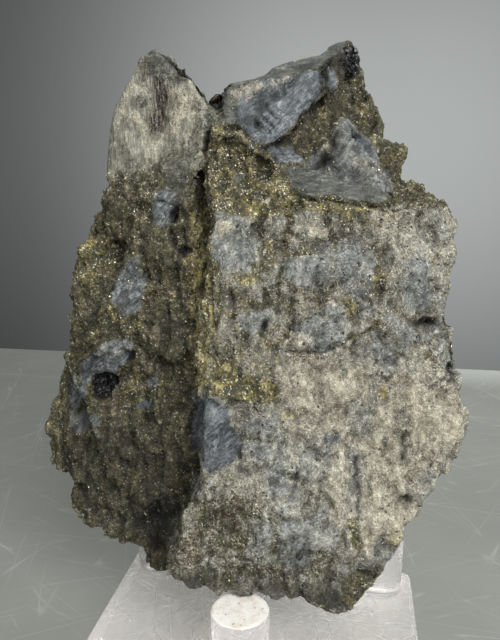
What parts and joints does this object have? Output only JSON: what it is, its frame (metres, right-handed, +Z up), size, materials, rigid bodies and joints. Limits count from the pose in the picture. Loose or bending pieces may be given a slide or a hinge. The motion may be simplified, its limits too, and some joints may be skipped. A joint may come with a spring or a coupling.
{
  "type": "uraninite in lignite specimen on a three-peg stand",
  "caption": "Broken upright lump of pyrite-crusted lignite carrying uraninite, resting on a clear rectangular stand with short round pegs.",
  "frame": {"origin": "centre of the stand's underside, on the surface it rests on", "axes": "+Z up, +X to the right along the stand's long side as the picture sees it, -Y towards the viewer; the lump is turned 9.4 degrees about Z on the stand"},
  "size_m": [0.1049, 0.0663, 0.1486],
  "materials": {
    "pyritic_lignite": "rough grey-brown lignite crusted with fine golden pyrite, silky blue-grey where it broke along the grain",
    "clear_acrylic": "clear acrylic, polished faces with fine scratches, peg tops sawn frosted white"
  },
  "bodies": {
    "root": {"lignite_lump": "pyritic_lignite", "stand_base": "clear_acrylic", "front_peg": "clear_acrylic", "rear_left_peg": "clear_acrylic", "rear_right_peg": "clear_acrylic"}
  },
  "joints": []
}
